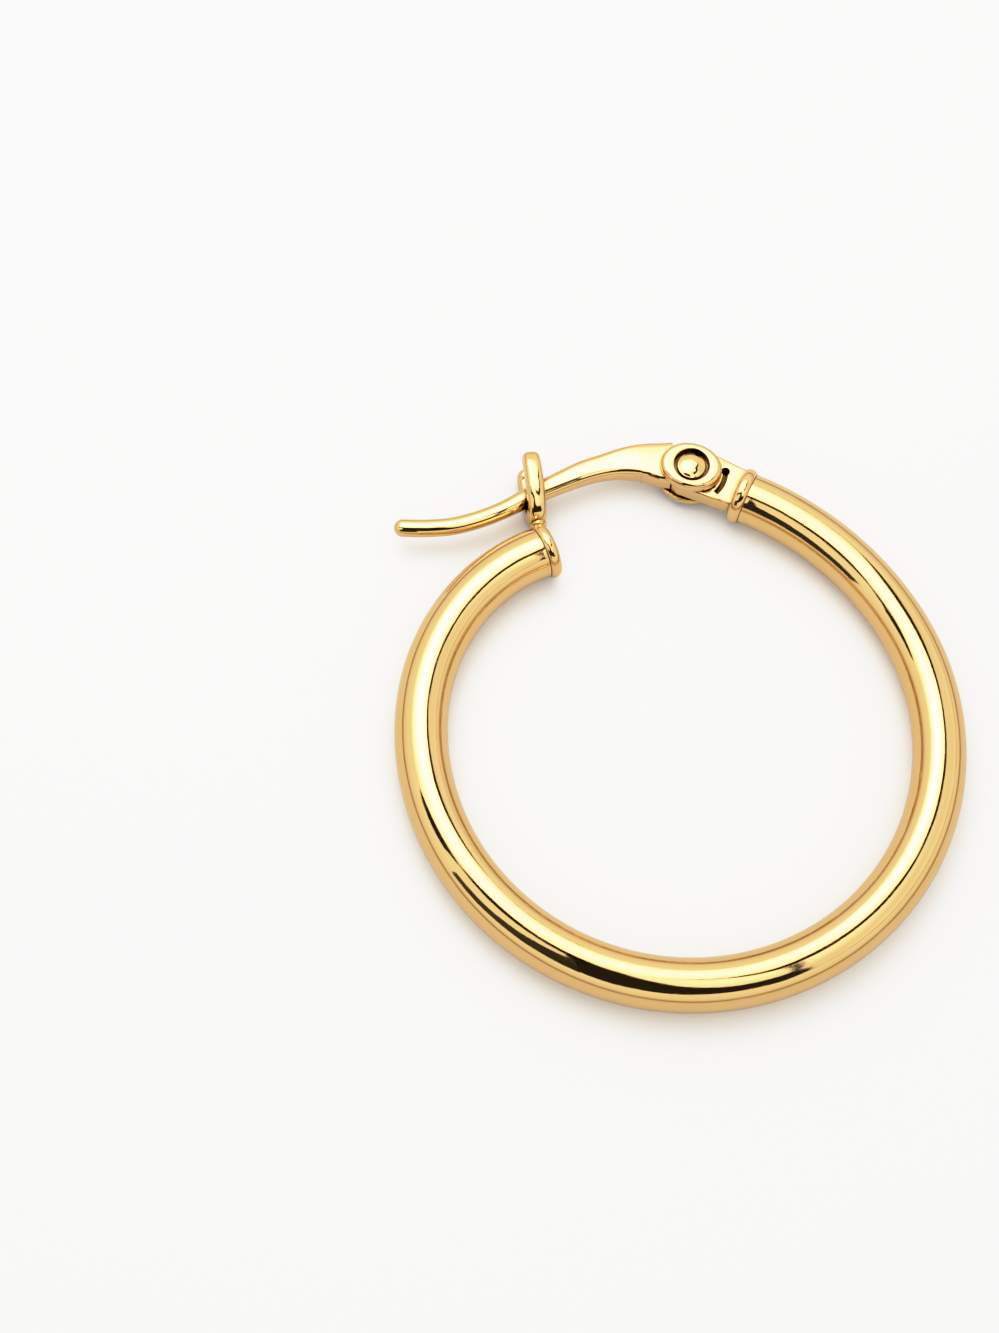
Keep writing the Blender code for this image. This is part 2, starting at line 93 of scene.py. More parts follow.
def loft(rings, start_cap=False, end_cap=False):
    """Points, faces and lengthwise map, in mm, of a skin over rings with the same number of points."""
    rings = np.asarray(rings)
    count, sides = rings.shape[:2]
    middle_steps = np.linalg.norm(np.diff(rings.mean(axis=1), axis=0), axis=1)
    longest_steps = np.linalg.norm(np.diff(rings, axis=0), axis=2).max(axis=1)
    along = np.r_[0.0, np.cumsum(middle_steps + longest_steps) / 2.0]
    middle = rings[count // 2]
    around = np.r_[0.0, np.cumsum(np.linalg.norm(np.roll(middle, -1, axis=0) - middle, axis=1))]
    faces, places = [], []
    for row in range(count - 1):
        for side in range(sides):
            following = (side + 1) % sides
            faces.append((row * sides + side, row * sides + following,
                          (row + 1) * sides + following, (row + 1) * sides + side))
            places += [(along[row], around[side]), (along[row], around[side + 1]),
                       (along[row + 1], around[side + 1]), (along[row + 1], around[side])]
    for capped, row in ((start_cap, 0), (end_cap, count - 1)):
        if capped:
            faces.append(tuple(range(row * sides, (row + 1) * sides)))
            places += [(along[row], value) for value in around[:-1]]
    return rings.reshape(-1, 3), faces, places


def piece(name, skins, material, body, node):
    """One object from several skins, in metres, riding on a body and standing for a node."""
    points, faces, places = [], [], []
    for skin_points, skin_faces, skin_places in skins:
        base = len(points)
        points += [tuple(point) for point in np.asarray(skin_points) * 0.001]
        faces += [tuple(base + index for index in face) for face in skin_faces]
        places += skin_places
    mesh = bpy.data.meshes.new(name)
    mesh.from_pydata(points, [], faces)
    layer = mesh.uv_layers.new(name="Lengthwise")
    layer.data.foreach_set("uv", np.asarray(places, dtype=np.float32).ravel())
    shape = bmesh.new()
    shape.from_mesh(mesh)
    bmesh.ops.recalc_face_normals(shape, faces=shape.faces)
    shape.to_mesh(mesh)
    shape.free()
    mesh.shade_smooth()
    mesh.set_sharp_from_angle(angle=math.radians(CRISP_ANGLE))
    mesh.materials.append(material)
    item = bpy.data.objects.new(name, mesh)
    bpy.context.scene.collection.objects.link(item)
    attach(item, body)
    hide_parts(node)
    return item


# how closely the polishing lines lie along and across the piece, per mm; the heights are in metres
LINE_STRETCH = (0.6, 22.0, 1.0)
LINE_HEIGHT = 0.000004
RIPPLES_PER_METRE = 420.0
RIPPLE_HEIGHT = 0.00002


def polish_group():
    """Roughness and normal of a mirror polish: fine lines along the piece and a soft buffing ripple."""
    group = bpy.data.node_groups.new("mirror_polish", "ShaderNodeTree")
    for name in ("Line Depth", "Ripple Depth", "Roughness"):
        group.interface.new_socket(name, in_out="INPUT", socket_type="NodeSocketFloat")
    group.interface.new_socket("Roughness", in_out="OUTPUT", socket_type="NodeSocketFloat")
    group.interface.new_socket("Normal", in_out="OUTPUT", socket_type="NodeSocketVector")
    nodes, links = group.nodes, group.links
    given = nodes.new("NodeGroupInput")
    result = nodes.new("NodeGroupOutput")
    layout = nodes.new("ShaderNodeUVMap")
    layout.uv_map = "Lengthwise"
    stretch = nodes.new("ShaderNodeVectorMath")
    stretch.operation = "MULTIPLY"
    stretch.inputs[1].default_value = LINE_STRETCH
    links.new(layout.outputs["UV"], stretch.inputs[0])
    lines = nodes.new("ShaderNodeTexNoise")
    lines.inputs["Scale"].default_value = 1.0
    lines.inputs["Detail"].default_value = 3.0
    lines.inputs["Roughness"].default_value = 0.6
    links.new(stretch.outputs[0], lines.inputs["Vector"])
    spot = nodes.new("ShaderNodeTexCoord")
    ripple = nodes.new("ShaderNodeTexNoise")
    ripple.inputs["Scale"].default_value = RIPPLES_PER_METRE
    ripple.inputs["Detail"].default_value = 1.0
    links.new(spot.outputs["Object"], ripple.inputs["Vector"])
    spread = nodes.new("ShaderNodeMapRange")
    spread.inputs["From Min"].default_value = 0.35
    spread.inputs["From Max"].default_value = 0.75
    spread.inputs["To Min"].default_value = 0.75
    spread.inputs["To Max"].default_value = 1.6
    links.new(lines.outputs["Fac"], spread.inputs["Value"])
    rough = nodes.new("ShaderNodeMath")
    rough.operation = "MULTIPLY"
    links.new(spread.outputs["Result"], rough.inputs[0])
    links.new(given.outputs["Roughness"], rough.inputs[1])
    links.new(rough.outputs[0], result.inputs["Roughness"])
    wave = nodes.new("ShaderNodeBump")
    wave.inputs["Distance"].default_value = RIPPLE_HEIGHT
    links.new(given.outputs["Ripple Depth"], wave.inputs["Strength"])
    links.new(ripple.outputs["Fac"], wave.inputs["Height"])
    scratch = nodes.new("ShaderNodeBump")
    scratch.inputs["Distance"].default_value = LINE_HEIGHT
    links.new(given.outputs["Line Depth"], scratch.inputs["Strength"])
    links.new(lines.outputs["Fac"], scratch.inputs["Height"])
    links.new(wave.outputs["Normal"], scratch.inputs["Normal"])
    links.new(scratch.outputs["Normal"], result.inputs["Normal"])
    return group


CLOUDS_PER_METRE = 260.0


def tone_group():
    """The alloy's colour, a little redder and deeper in soft clouds."""
    group = bpy.data.node_groups.new("gold_tone", "ShaderNodeTree")
    for name in ("Clean", "Deep"):
        group.interface.new_socket(name, in_out="INPUT", socket_type="NodeSocketColor")
    group.interface.new_socket("Colour", in_out="OUTPUT", socket_type="NodeSocketColor")
    nodes, links = group.nodes, group.links
    given = nodes.new("NodeGroupInput")
    result = nodes.new("NodeGroupOutput")
    spot = nodes.new("ShaderNodeTexCoord")
    cloud = nodes.new("ShaderNodeTexNoise")
    cloud.inputs["Scale"].default_value = CLOUDS_PER_METRE
    cloud.inputs["Detail"].default_value = 2.0
    links.new(spot.outputs["Object"], cloud.inputs["Vector"])
    share = nodes.new("ShaderNodeMapRange")
    share.inputs["From Min"].default_value = 0.4
    share.inputs["From Max"].default_value = 0.8
    share.inputs["To Max"].default_value = 0.5
    links.new(cloud.outputs["Fac"], share.inputs["Value"])
    mix = nodes.new("ShaderNodeMix")
    mix.data_type = "RGBA"
    links.new(share.outputs["Result"], mix.inputs["Factor"])
    links.new(given.outputs["Clean"], mix.inputs["A"])
    links.new(given.outputs["Deep"], mix.inputs["B"])
    links.new(mix.outputs["Result"], result.inputs["Colour"])
    return group


def crevice_shade_group():
    """A mask for painted shade in tight corners, from how closed in each point is, 1 in the tightest."""
    group = bpy.data.node_groups.new("crevice_painted_shade", "ShaderNodeTree")
    group.interface.new_socket("Reach", in_out="INPUT", socket_type="NodeSocketFloat")
    group.interface.new_socket("Mask", in_out="OUTPUT", socket_type="NodeSocketFloat")
    nodes, links = group.nodes, group.links
    given = nodes.new("NodeGroupInput")
    result = nodes.new("NodeGroupOutput")
    openness = nodes.new("ShaderNodeAmbientOcclusion")
    openness.samples = 8
    links.new(given.outputs["Reach"], openness.inputs["Distance"])
    shade_mask = nodes.new("ShaderNodeMapRange")
    shade_mask.interpolation_type = "SMOOTHSTEP"
    shade_mask.inputs["From Min"].default_value = 0.72
    shade_mask.inputs["From Max"].default_value = 0.5
    links.new(openness.outputs["AO"], shade_mask.inputs["Value"])
    links.new(shade_mask.outputs["Result"], result.inputs["Mask"])
    return group


POLISH = polish_group()
TONE = tone_group()
CREVICE_SHADE = crevice_shade_group()
GOLD = (0.88, 0.58, 0.235, 1.0)
GOLD_DEEP = (0.85, 0.55, 0.195, 1.0)
# the near-black brown painted into tight corners as shade
PAINTED_SHADE = (0.05, 0.02, 0.006, 1.0)


def gold(name, roughness, lines, ripple, reach):
    """Polished gold with fine lines and ripple, and painted shade in corners tighter than a reach in
    metres.
    """
    material = bpy.data.materials.new(name)
    material.use_nodes = True
    nodes, links = material.node_tree.nodes, material.node_tree.links
    shader = nodes["Principled BSDF"]
    shader.inputs["Metallic"].default_value = 1.0
    tone = nodes.new("ShaderNodeGroup")
    tone.node_tree = TONE
    tone.inputs["Clean"].default_value = GOLD
    tone.inputs["Deep"].default_value = GOLD_DEEP
    crevice = nodes.new("ShaderNodeGroup")
    crevice.node_tree = CREVICE_SHADE
    crevice.inputs["Reach"].default_value = reach
    # painted shade: the base colour turns near-black where the corner mask is high
    shaded = nodes.new("ShaderNodeMix")
    shaded.data_type = "RGBA"
    links.new(crevice.outputs["Mask"], shaded.inputs["Factor"])
    links.new(tone.outputs["Colour"], shaded.inputs["A"])
    shaded.inputs["B"].default_value = PAINTED_SHADE
    links.new(shaded.outputs["Result"], shader.inputs["Base Color"])
    polish = nodes.new("ShaderNodeGroup")
    polish.node_tree = POLISH
    polish.inputs["Line Depth"].default_value = lines
    polish.inputs["Ripple Depth"].default_value = ripple
    polish.inputs["Roughness"].default_value = roughness
    links.new(polish.outputs["Roughness"], shader.inputs["Roughness"])
    links.new(polish.outputs["Normal"], shader.inputs["Normal"])
    return material


TUBE_GOLD = gold("tube_gold", roughness=0.04, lines=0.25, ripple=0.2, reach=0.0001)
TUBE_RINGS = 420
TUBE_SIDES = 96
END_SPAN = 4
tube_line = [hoop_point(TUBE_TURN * index / TUBE_RINGS) for index in range(TUBE_RINGS + 1)]
tube_rings = sweep(tube_line, [TUBE_RADIUS] * len(tube_line), UP, TUBE_SIDES)


def end_axes(end, inside):
    """Place, axis out of the tube, and direction away from the hoop's middle at a tube end."""
    axis = unit(end - inside)
    out = np.array([-axis[1], axis[0], 0.0])
    if np.dot(out, end - HOOP_CENTRE) < 0.0:
        out = -out
    return end, axis, out


HINGE_END = end_axes(tube_line[0], tube_line[END_SPAN])
CATCH_END = end_axes(tube_line[-1], tube_line[-1 - END_SPAN])


def turned(profile, end):
    """Rings of a (radius, height) profile turned about the axis that leaves a tube end."""
    place, axis, out = end
    across = np.cross(axis, out)
    angles = 2.0 * math.pi * np.arange(TUBE_SIDES) / TUBE_SIDES
    circle = np.outer(np.cos(angles), out) + np.outer(np.sin(angles), across)
    return [place + axis * height + radius * circle for radius, height in profile]


RIM_EDGE = 0.025
RIM_START = -0.2
BORE_DEPTH = 1.5


def rim(end):
    """The tube's rounded end, from where the tube's own skin stops to some way down its bore."""
    profile = [(TUBE_RADIUS, RIM_START)]
    profile += [(TUBE_RADIUS - RIM_EDGE + RIM_EDGE * math.cos(a), RIM_EDGE * math.sin(a) - RIM_EDGE)
                for a in np.radians(np.linspace(0.0, 90.0, 6))]
    profile += [(TUBE_RADIUS - WALL, 0.0), (TUBE_RADIUS - WALL, -BORE_DEPTH)]
    return turned(profile, end)


hoop_skins = [loft(tube_rings[1:-1])]
hoop_skins += [loft(rim(end)) for end in (HINGE_END, CATCH_END)]
piece("hoop_tube_polished", hoop_skins, TUBE_GOLD, "hoop", "hoop_tube")

# COLLAR AND HINGE TONGUE
# A turned bead closes the tube's hinge end. A flat tongue is soldered square to its face, pierced by a
# curved spring slit with a round relief hole, and its rounded knuckle sits between the lever's ears.
BEAD_RADIUS = 1.57
NECK_RADIUS = TUBE_RADIUS - 0.02
NECK_SEAM = 0.01
SPIGOT_RADIUS = TUBE_RADIUS - WALL - 0.06
SPIGOT_LENGTH = 0.8
COLLAR_LENGTH = 0.67
PIN_REACH = 3.46
KNUCKLE = 1.27
TONGUE_HALF, TONGUE_EDGE, TONGUE_SINK = 0.53, 0.17, 0.12
TONGUE_OUTER, TONGUE_INNER = 1.36, 1.06
SHOULDER = [(1.45, 1.44), (1.25, 1.47), (1.05, 1.48), (0.85, 1.42)]
SLIT_RADIUS, SLIT_WIDTH, SLIT_HALF, SLIT_HOLE = 1.93, 0.27, 22.0, 0.23
SLIT_EDGE, WEB_HALF, WEB_EDGE, WEB_SINK = 0.03, 0.08, 0.02, 0.04
# the radius of a ring so small that it closes a turned face
CENTRE = 0.0001
FITTING_GOLD = gold("fitting_gold", roughness=0.045, lines=0.15, ripple=0.25, reach=0.0008)


def bead(length, dome, end):
    """A bead with a round rim, its neck running back into the tube."""
    profile = [(CENTRE, length)]
    profile += [(NECK_RADIUS * math.sin(a), length - dome * (1.0 - math.cos(a)))
                for a in np.radians(np.linspace(6.0, 84.0, 14))]
    middle = (length - dome + NECK_SEAM) / 2.0
    half = (length - dome - NECK_SEAM) / 2.0
    profile += [(NECK_RADIUS + (BEAD_RADIUS - NECK_RADIUS) * math.cos(a), middle + half * math.sin(a))
                for a in np.radians(np.linspace(90.0, -90.0, 31))]
    profile += [(SPIGOT_RADIUS, NECK_SEAM), (SPIGOT_RADIUS, -SPIGOT_LENGTH)]
    return loft(turned(profile, end))


def arc(centre, radius, start, stop, count):
    """Points of a round arc in a flat outline, its ends given by degrees."""
    angles = np.radians(np.linspace(start, stop, count))
    return [(centre[0] + radius * math.cos(a), centre[1] + radius * math.sin(a)) for a in angles]


def inset(loop, depth):
    """The closed outline moved to its left by a depth."""
    loop = np.asarray(loop)
    ahead = np.roll(loop, -1, axis=0) - loop
    ahead /= np.linalg.norm(ahead, axis=1)[:, None]
    behind = np.roll(ahead, 1, axis=0)
    left = np.c_[-ahead[:, 1], ahead[:, 0]] + np.c_[-behind[:, 1], behind[:, 0]]
    left /= np.linalg.norm(left, axis=1)[:, None]
    # a corner is never stretched to more than twice the depth
    lean = np.maximum((left * np.c_[-ahead[:, 1], ahead[:, 0]]).sum(axis=1), 0.5)
    return loop + depth * left / lean[:, None]


pin_place = HINGE_END[0] + PIN_REACH * HINGE_END[1]
to_collar = -HINGE_END[1]
outward = HINGE_END[2]


def from_tongue(point):
    """A place in the earring from one in the tongue: towards the collar, outward and up from the pin."""
    return pin_place + point[0] * to_collar + point[1] * outward + point[2] * UP


def plate(loops, half):
    """A plate in the tongue's plane from an anticlockwise outline and clockwise holes.

    Each loop comes with the size of its rounded edge, and half is half the plate's thickness.
    """
    shape = bmesh.new()
    ends = {1: [], -1: []}
    for loop, round_edge in loops:
        profile = [(round_edge * (1.0 - math.sin(a)), half - round_edge * (1.0 - math.cos(a)))
                   for a in np.radians(np.linspace(0.0, 90.0, 6))]
        profile += [(depth, -height) for depth, height in reversed(profile)]
        rows = []
        for depth, height in profile:
            rows.append([shape.verts.new((x, y, height)) for x, y in inset(loop, depth)])
        for upper, lower in zip(rows, rows[1:]):
            for index in range(len(loop)):
                following = (index + 1) % len(loop)
                shape.faces.new((upper[index], lower[index], lower[following], upper[following]))
        for side, row in ((1, rows[0]), (-1, rows[-1])):
            for index in range(len(row)):
                ends[side].append(shape.edges.get((row[index], row[(index + 1) % len(row)])))
    for side, edges in ends.items():
        bmesh.ops.triangle_fill(shape, use_beauty=True, use_dissolve=False, edges=edges,
                                normal=(0.0, 0.0, side))
    shape.verts.index_update()
    flat_points = [tuple(vertex.co) for vertex in shape.verts]
    faces = [tuple(vertex.index for vertex in face.verts) for face in shape.faces]
    shape.free()
    places = [(flat_points[index][0], flat_points[index][1] + flat_points[index][2])
              for face in faces for index in face]
    return [from_tongue(point) for point in flat_points], faces, places


# the tongue's outline runs anticlockwise from its outer corner at the collar, round the knuckle
collar_face = PIN_REACH - COLLAR_LENGTH + TONGUE_SINK
tongue_outline = [(collar_face, TONGUE_OUTER)] + SHOULDER
tongue_outline += arc((0.0, 0.0), KNUCKLE, 72.0, 262.0, 60)
tongue_outline += [(collar_face, -TONGUE_INNER)]
# the slit runs clockwise: up its side by the pin, round the relief hole and down its other side
slit_end = math.radians(SLIT_HALF)
hole_place = (SLIT_RADIUS * math.cos(slit_end), SLIT_RADIUS * math.sin(slit_end))
hole_mouth = math.degrees(math.asin(SLIT_WIDTH / 2.0 / SLIT_HOLE))
slit_meet = SLIT_HALF - math.degrees(SLIT_HOLE * math.cos(math.radians(hole_mouth)) / SLIT_RADIUS)
slit = arc((0.0, 0.0), SLIT_RADIUS - SLIT_WIDTH / 2.0, -SLIT_HALF, slit_meet, 24)
slit += arc(hole_place, SLIT_HOLE, SLIT_HALF + 270.0 - hole_mouth, SLIT_HALF - 90.0 + hole_mouth, 30)[1:-1]
slit += arc((0.0, 0.0), SLIT_RADIUS + SLIT_WIDTH / 2.0, slit_meet, -SLIT_HALF, 24)

tongue = plate([(tongue_outline, TONGUE_EDGE), (slit, SLIT_EDGE)], TONGUE_HALF)
# a thin web closes the slit at half its depth, its rim sunk into the metal round it
slit_web = plate([(inset(slit[::-1], -WEB_SINK), WEB_EDGE)], WEB_HALF)
hinge_piece = piece("hinge_collar_and_tongue", [bead(COLLAR_LENGTH, 0.0, HINGE_END), tongue, slit_web],
                    FITTING_GOLD, "hoop", "hinge_fitting")


def keep_flats(item):
    """Shades the flat faces mirror flat up to their rounded edges."""
    flats = item.modifiers.new("flats", "WEIGHTED_NORMAL")
    flats.weight = 100
    flats.keep_sharp = True


keep_flats(hinge_piece)

# CAP AND CATCH LOOP
# A domed bead closes the other end. A wire with flattened sides, bent to a narrow U, stands on its crown,
# soldered at the bend, its two tips turned in a little so that the lever's post snaps between them.
CAP_LENGTH, CAP_DOME = 0.75, 0.14
WIRE, WIRE_SIDES, WIRE_SQUARENESS = 0.495, 96, 3.0
LOOP_HALF, LOOP_RISE, LOOP_SEAT, LOOP_LEAN, LOOP_TILT = 1.1, 2.95, 0.55, -17.4, 4.5
LOOP_SINK, LOOP_BEND, LOOP_TIP = 0.12, 2.35, 25.0
SOLDER_SIZE, SOLDER_SINK = (0.62, 0.5, 0.34), 0.1
CATCH_PASS = 1.81
loop_base = CATCH_END[0] + LOOP_SEAT * CATCH_END[1] + BEAD_RADIUS * CATCH_END[2]
lean = math.radians(LOOP_LEAN)
loop_up = np.array([
    CATCH_END[2][0] * math.cos(lean) - CATCH_END[2][1] * math.sin(lean),
    CATCH_END[2][0] * math.sin(lean) + CATCH_END[2][1] * math.cos(lean),
    0.0,
])
loop_foot = WIRE - LOOP_SINK
tip_arc = arc((0.0, LOOP_RISE), LOOP_HALF, LOOP_TIP, 0.0, 14)
limb_length = LOOP_RISE - loop_foot - LOOP_BEND
limb = [(LOOP_HALF, LOOP_RISE - limb_length * share) for share in np.linspace(0.1, 0.9, 5)]
bend = [(LOOP_HALF * math.cos(a), loop_foot + LOOP_BEND * (1.0 - math.sin(a)))
        for a in np.radians(np.linspace(0.0, 90.0, 36))]
flat_line = tip_arc + limb + bend
flat_line += [(-across, up) for across, up in reversed(flat_line[:-1])]
wire_radii = [WIRE] * len(flat_line)
tip_heading = math.radians(LOOP_TIP + 90.0)
for angle in np.radians(np.linspace(12.0, 88.0, 9)):
    step = WIRE * math.sin(angle)
    across = tip_arc[0][0] + step * math.cos(tip_heading)
    up = tip_arc[0][1] + step * math.sin(tip_heading)
    flat_line = [(across, up)] + flat_line + [(-across, up)]
    wire_radii = [WIRE * math.cos(angle)] + wire_radii + [WIRE * math.cos(angle)]
tilt = math.radians(LOOP_TILT)
loop_side = np.cross(loop_up, UP)
loop_side *= np.sign(loop_side @ CATCH_END[1])
loop_across = math.cos(tilt) * UP + math.sin(tilt) * loop_side
loop_line = [loop_base + up * loop_up + across * loop_across for across, up in flat_line]
loop_normal = unit(np.cross(loop_up, loop_across))
loop_skin = loft(sweep(loop_line, wire_radii, loop_normal, WIRE_SIDES, WIRE_SQUARENESS), True, True)

# a low smooth mound of solder at the loop's foot, sized along, across and up
solder_place = loop_base - SOLDER_SINK * CATCH_END[2]
solder_side = np.cross(CATCH_END[2], UP)
solder_rings = []
for angle in np.radians(np.linspace(2.0, 178.0, 24)):
    solder_rings.append([solder_place + SOLDER_SIZE[0] * math.sin(angle) * math.cos(a) * UP
                         + SOLDER_SIZE[1] * math.sin(angle) * math.sin(a) * solder_side
                         + SOLDER_SIZE[2] * math.cos(angle) * CATCH_END[2]
                         for a in 2.0 * math.pi * np.arange(40) / 40])
solder = loft(solder_rings, True, True)
piece("cap_and_catch_loop", [bead(CAP_LENGTH, CAP_DOME, CATCH_END), loop_skin, solder], FITTING_GOLD,
      "hoop", "catch_fitting")

# LEVER
# One solid bar: flat and broad beside the hinge, thinning and rounding into the post that goes through
# the ear, arched over the opening and turned up at its tip. An oval ear with a round pin seat is
# soldered to each face.
POST_WIDTH, POST_THICKNESS = 0.98, 0.92
ARM_WIDTH, ARM_THICKNESS = 2.44, 1.3
ARCH_RISE, POST_DIP, POST_OVERHANG = 1.155, 1.2, 7.79
ARM_START, CROWN = 0.66, 0.09
POST_CORNER, ARM_CORNER, FLATTENING = 0.999, 0.419, 1.6
KNUCKLE_GAP, HOLLOW_ROWS, HOLLOW_STEP = 0.07, 24, 0.004
EAR_GAP, EAR_THICKNESS = 0.05, 0.57
EAR_LONG, EAR_SHORT, EAR_TURN, EAR_EDGE, EAR_FOOT = 1.7, 1.41, -25.0, 0.3, 0.1
SEAT_RADIUS, SEAT_DEPTH, SEAT_LIP, BORE = 0.98, 0.36, 0.05, 0.45
EAR_SIDES = 128
EAR_INNER = TONGUE_HALF + EAR_GAP
EAR_OUTER = EAR_INNER + EAR_THICKNESS
LEVER_GOLD = gold("lever_gold", roughness=0.045, lines=0.12, ripple=0.15, reach=0.0008)
catch_place = loop_base + CATCH_PASS * loop_up
chord = float(np.linalg.norm(catch_place - pin_place))
to_catch = unit(catch_place - pin_place)
lever_out = np.cross(to_catch, UP)
if np.dot(lever_out, outward) < 0.0:
    lever_out = -lever_out
# share of the chord from the pin, rise over the chord in mm, and how far the section is the arm's
LEVER_ROWS = np.array([
    (0.02, 0.54 * ARCH_RISE, 1.00),
    (0.13, 0.60 * ARCH_RISE, 1.00),
    (0.23, 0.83 * ARCH_RISE, 0.77),
    (0.40, 0.99 * ARCH_RISE, 0.49),
    (0.52, 0.94 * ARCH_RISE, 0.32),
    (0.66, 0.78 * ARCH_RISE, 0.25),
    (0.80, 0.48 * ARCH_RISE, 0.17),
    (1.00, 0.00, 0.07),
    (1.00 + 0.24 * POST_OVERHANG / chord, -0.58 * POST_DIP, 0.00),
    (1.00 + 0.45 * POST_OVERHANG / chord, -0.90 * POST_DIP, 0.00),
    (1.00 + 0.58 * POST_OVERHANG / chord, -1.00 * POST_DIP, 0.00),
    (1.00 + 0.76 * POST_OVERHANG / chord, -0.94 * POST_DIP, 0.00),
    (1.00 + 1.00 * POST_OVERHANG / chord, -0.68 * POST_DIP, 0.00),
])


def smooth(rows, at):
    """The table's other columns at values of its first, along a smooth curve through its rows."""
    x = rows[:, 0]
    result = []
    for column in rows[:, 1:].T:
        slope = np.gradient(column, x)
        low = np.clip(np.searchsorted(x, at) - 1, 0, len(x) - 2)
        span = x[low + 1] - x[low]
        t = (at - x[low]) / span
        result.append((2 * t**3 - 3 * t**2 + 1) * column[low] + (t**3 - 2 * t**2 + t) * span * slope[low]
                      + (3 * t**2 - 2 * t**3) * column[low + 1] + (t**3 - t**2) * span * slope[low + 1])
    return result


def rounded_bar(width, thickness, corner):
    """A rounded rectangle's outline as (across, up), with the same count of points for every size."""
    points = []
    for quarter, (sign_x, sign_y) in enumerate(((1, 1), (-1, 1), (-1, -1), (1, -1))):
        centre = (sign_x * (width - corner), sign_y * (thickness - corner))
        points += arc(centre, corner, 90.0 * quarter, 90.0 * quarter + 90.0, 12)
        following = ((-1, 1), (-1, -1), (1, -1), (1, 1))[quarter]
        start = points[-1]
        turn = math.radians(90.0 * quarter + 90.0)
        stop = (following[0] * (width - corner) + corner * math.cos(turn),
                following[1] * (thickness - corner) + corner * math.sin(turn))
        for share in np.linspace(0.06, 0.94, 11):
            points.append((start[0] + (stop[0] - start[0]) * share,
                           start[1] + (stop[1] - start[1]) * share))
    return points


along = np.linspace(ARM_START / chord, 1.0 + (POST_OVERHANG - POST_WIDTH / 2.0) / chord, 200)
rise, swell = smooth(LEVER_ROWS, along)
swell = np.clip(swell, 0.0, 1.0)
middles = [pin_place + a * chord * to_catch + r * lever_out for a, r in zip(along, rise)]
headings = [unit(step) for step in np.gradient(np.asarray(middles), axis=0)]
bar_rings = []
for middle, heading, swollen in zip(middles, headings, swell):
    side = np.cross(UP, heading)
    width = (POST_WIDTH + (ARM_WIDTH - POST_WIDTH) * swollen) / 2.0
    flatness = min(1.0, FLATTENING * swollen)
    thickness = (POST_THICKNESS + (ARM_THICKNESS - POST_THICKNESS) * flatness) / 2.0
    corner = min(width, thickness) * (POST_CORNER + (ARM_CORNER - POST_CORNER) * flatness)
    crown = CROWN * flatness / thickness
    bar_rings.append([middle + across * side + up * (1.0 - crown * (across / width)**2) * UP
                      for across, up in rounded_bar(width, thickness, corner)])
# the post's tip is rounded over half its width
tip_middle, tip_way = middles[-1], headings[-1]
last_ring = np.asarray(bar_rings[-1])
for angle in np.radians(np.linspace(10.0, 88.0, 10)):
    shrunk = tip_middle + (last_ring - tip_middle) * math.cos(angle)
    bar_rings.append(list(shrunk + tip_way * POST_WIDTH / 2.0 * math.sin(angle)))
# the arm's end is hollowed to clear the knuckle, and closed by two smaller rings
bar_rings = np.asarray(bar_rings)
for row in range(HOLLOW_ROWS):
    offset = bar_rings[row] - pin_place
    x = offset @ to_catch
    y = offset @ lever_out
    hollow = np.sqrt(np.clip((KNUCKLE + KNUCKLE_GAP)**2 - y**2, 0.0, None))
    short = np.maximum(hollow, ARM_START) - x
    bar_rings[row] += np.outer(np.maximum(short, 0.0) + row * HOLLOW_STEP, to_catch)
first = bar_rings[0]
first_middle = first.mean(axis=0)
end_rings = [first_middle + (first - first_middle) * share for share in (0.90, 0.95)]
bar_skin = loft([*end_rings, *bar_rings], True, True)

ear_turn = math.radians(EAR_TURN)
ear_long = math.cos(ear_turn) * -to_catch + math.sin(ear_turn) * lever_out
ear_short = unit(np.cross(UP, ear_long))


def ear(side):
    """An oval disc with rounded rims, its round seat and the pin's bore, on one face of the arm."""
    profile = [(BORE, BORE, EAR_INNER), (EAR_LONG - EAR_FOOT, EAR_SHORT - EAR_FOOT, EAR_INNER)]
    for a in np.radians(np.linspace(15.0, 90.0, 6)):
        grow = EAR_FOOT * (1.0 - math.sin(a))
        profile.append((EAR_LONG - grow, EAR_SHORT - grow, EAR_INNER + EAR_FOOT * (1.0 - math.cos(a))))
    for a in np.radians(np.linspace(90.0, 0.0, 16)):
        grow = EAR_EDGE * (1.0 - math.sin(a))
        profile.append((EAR_LONG - grow, EAR_SHORT - grow, EAR_OUTER - EAR_EDGE * (1.0 - math.cos(a))))
    for a in np.radians(np.linspace(0.0, 90.0, 6)):
        radius = SEAT_RADIUS + SEAT_LIP * (1.0 - math.sin(a))
        profile.append((radius, radius, EAR_OUTER - SEAT_LIP * (1.0 - math.cos(a))))
    seat_floor = EAR_OUTER - SEAT_DEPTH
    profile += [(SEAT_RADIUS, SEAT_RADIUS, seat_floor), (BORE, BORE, seat_floor), (BORE, BORE, EAR_INNER)]
    angles = 2.0 * math.pi * np.arange(EAR_SIDES) / EAR_SIDES
    rings = []
    for long, short, height in profile:
        rings.append(pin_place + np.outer(long * np.cos(angles), ear_long)
                     + np.outer(short * np.sin(angles), ear_short) + side * height * UP)
    return loft(rings)


lever_piece = piece("lever_with_ears", [bar_skin, ear(1.0), ear(-1.0)], LEVER_GOLD, "lever", "lever")
keep_flats(lever_piece)
